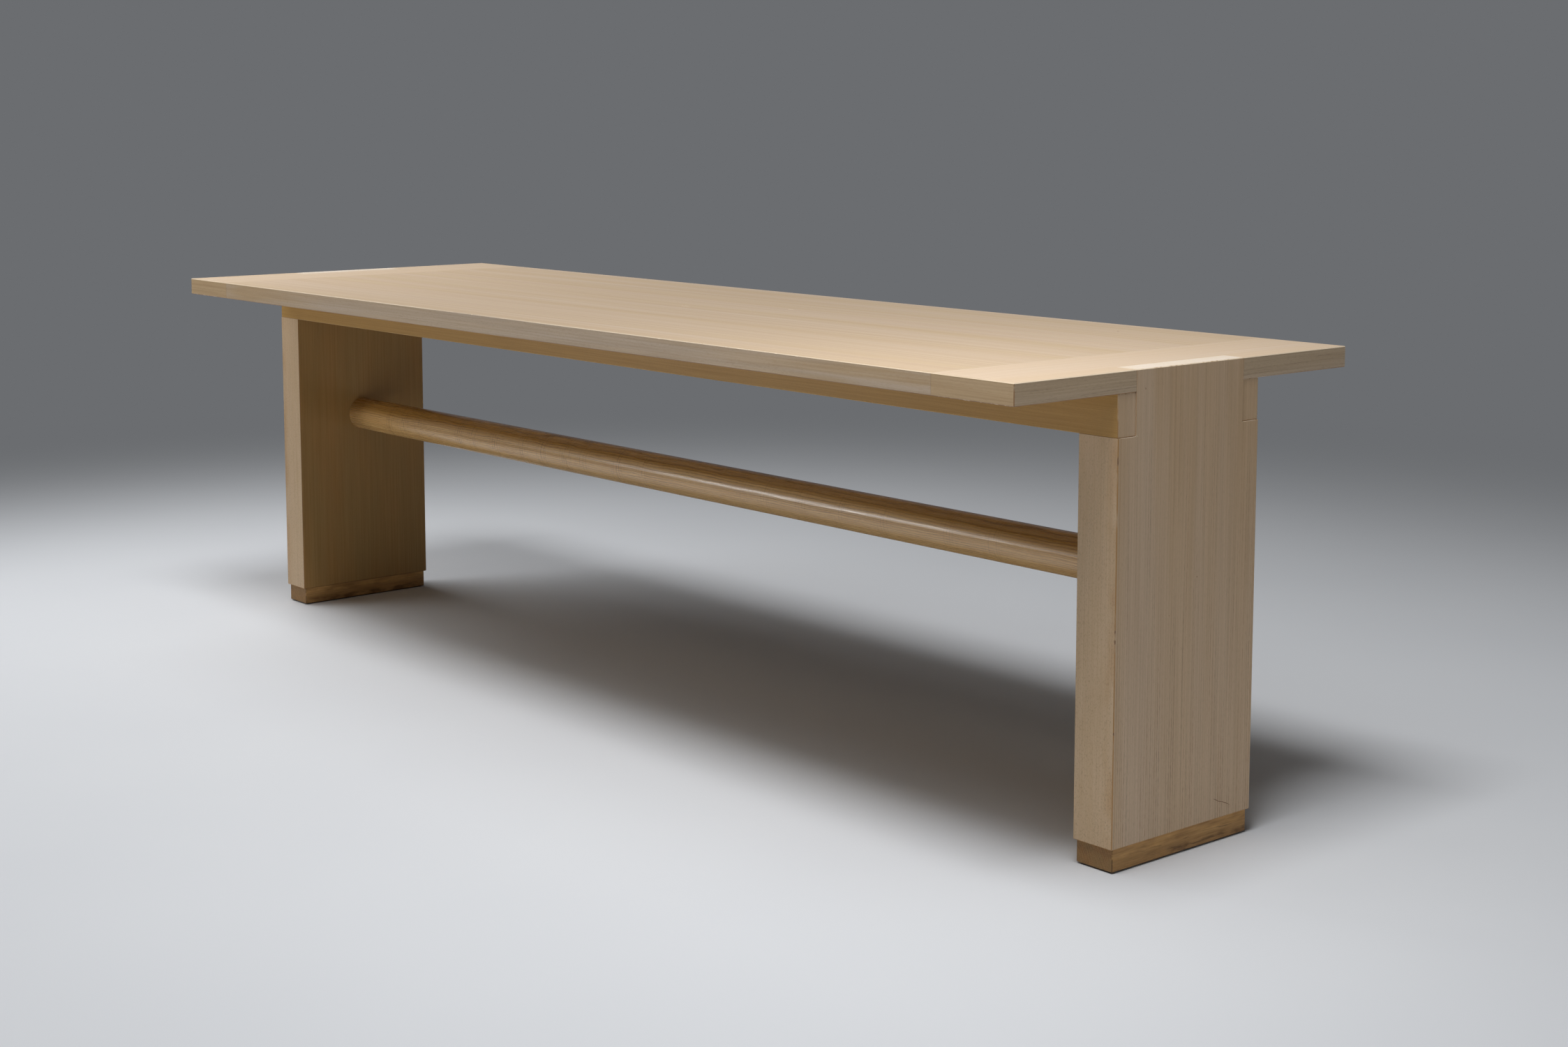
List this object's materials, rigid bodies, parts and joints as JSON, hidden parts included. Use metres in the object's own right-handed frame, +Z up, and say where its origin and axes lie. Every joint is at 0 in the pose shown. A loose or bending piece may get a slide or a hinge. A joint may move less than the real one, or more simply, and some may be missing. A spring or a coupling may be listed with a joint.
{
  "type": "trestle dining table",
  "caption": "Long dining table: slab legs rise flush through the cleated ends of the top, rails run under it, a round stretcher joins the legs and block feet carry them.",
  "frame": {"origin": "on the floor, under the middle of the top", "axes": "+X along the length of the table, +Y across its width, +Z up"},
  "size_m": [2.468, 0.746, 0.74],
  "materials": {
    "bleached_ash_top": "satin, bleached straight grain",
    "bleached_ash_cleat": "satin, bleached wavy grain",
    "bleached_ash_leg": "satin, bleached straight grain",
    "ash_rail": "satin, warm straight grain",
    "lacquered_ash": "glossy lacquer, turned",
    "brown_hardwood": "oiled, worn",
    "beech": "raw",
    "zinc_steel": "zinc plated",
    "felt": "dense felt"
  },
  "bodies": {
    "root": {"top_panel": "bleached_ash_top", "top_front_lipping": "bleached_ash_top", "top_rear_lipping": "bleached_ash_top", "left_end_cleat": "bleached_ash_cleat", "right_end_cleat": "bleached_ash_cleat", "left_leg_outer_board": "bleached_ash_leg", "left_leg_inner_board": "bleached_ash_leg", "left_leg_front_lipping": "bleached_ash_leg", "left_leg_rear_lipping": "bleached_ash_leg", "right_leg_outer_board": "bleached_ash_leg", "right_leg_inner_board": "bleached_ash_leg", "right_leg_front_lipping": "bleached_ash_leg", "right_leg_rear_lipping": "bleached_ash_leg", "front_rail": "ash_rail", "rear_rail": "ash_rail", "stretcher": "lacquered_ash", "left_foot": "brown_hardwood", "right_foot": "brown_hardwood", "left_rail_dowels": "beech", "left_leg_dowels": "beech", "left_tenon_wedge": "beech", "left_cleat_tongue": "beech", "right_rail_dowels": "beech", "right_leg_dowels": "beech", "right_tenon_wedge": "beech", "right_cleat_tongue": "beech", "front_rail_screws": "zinc_steel", "rear_rail_screws": "zinc_steel", "left_foot_screws": "zinc_steel", "right_foot_screws": "zinc_steel", "left_foot_pad": "felt", "right_foot_pad": "felt"}
  },
  "joints": []
}
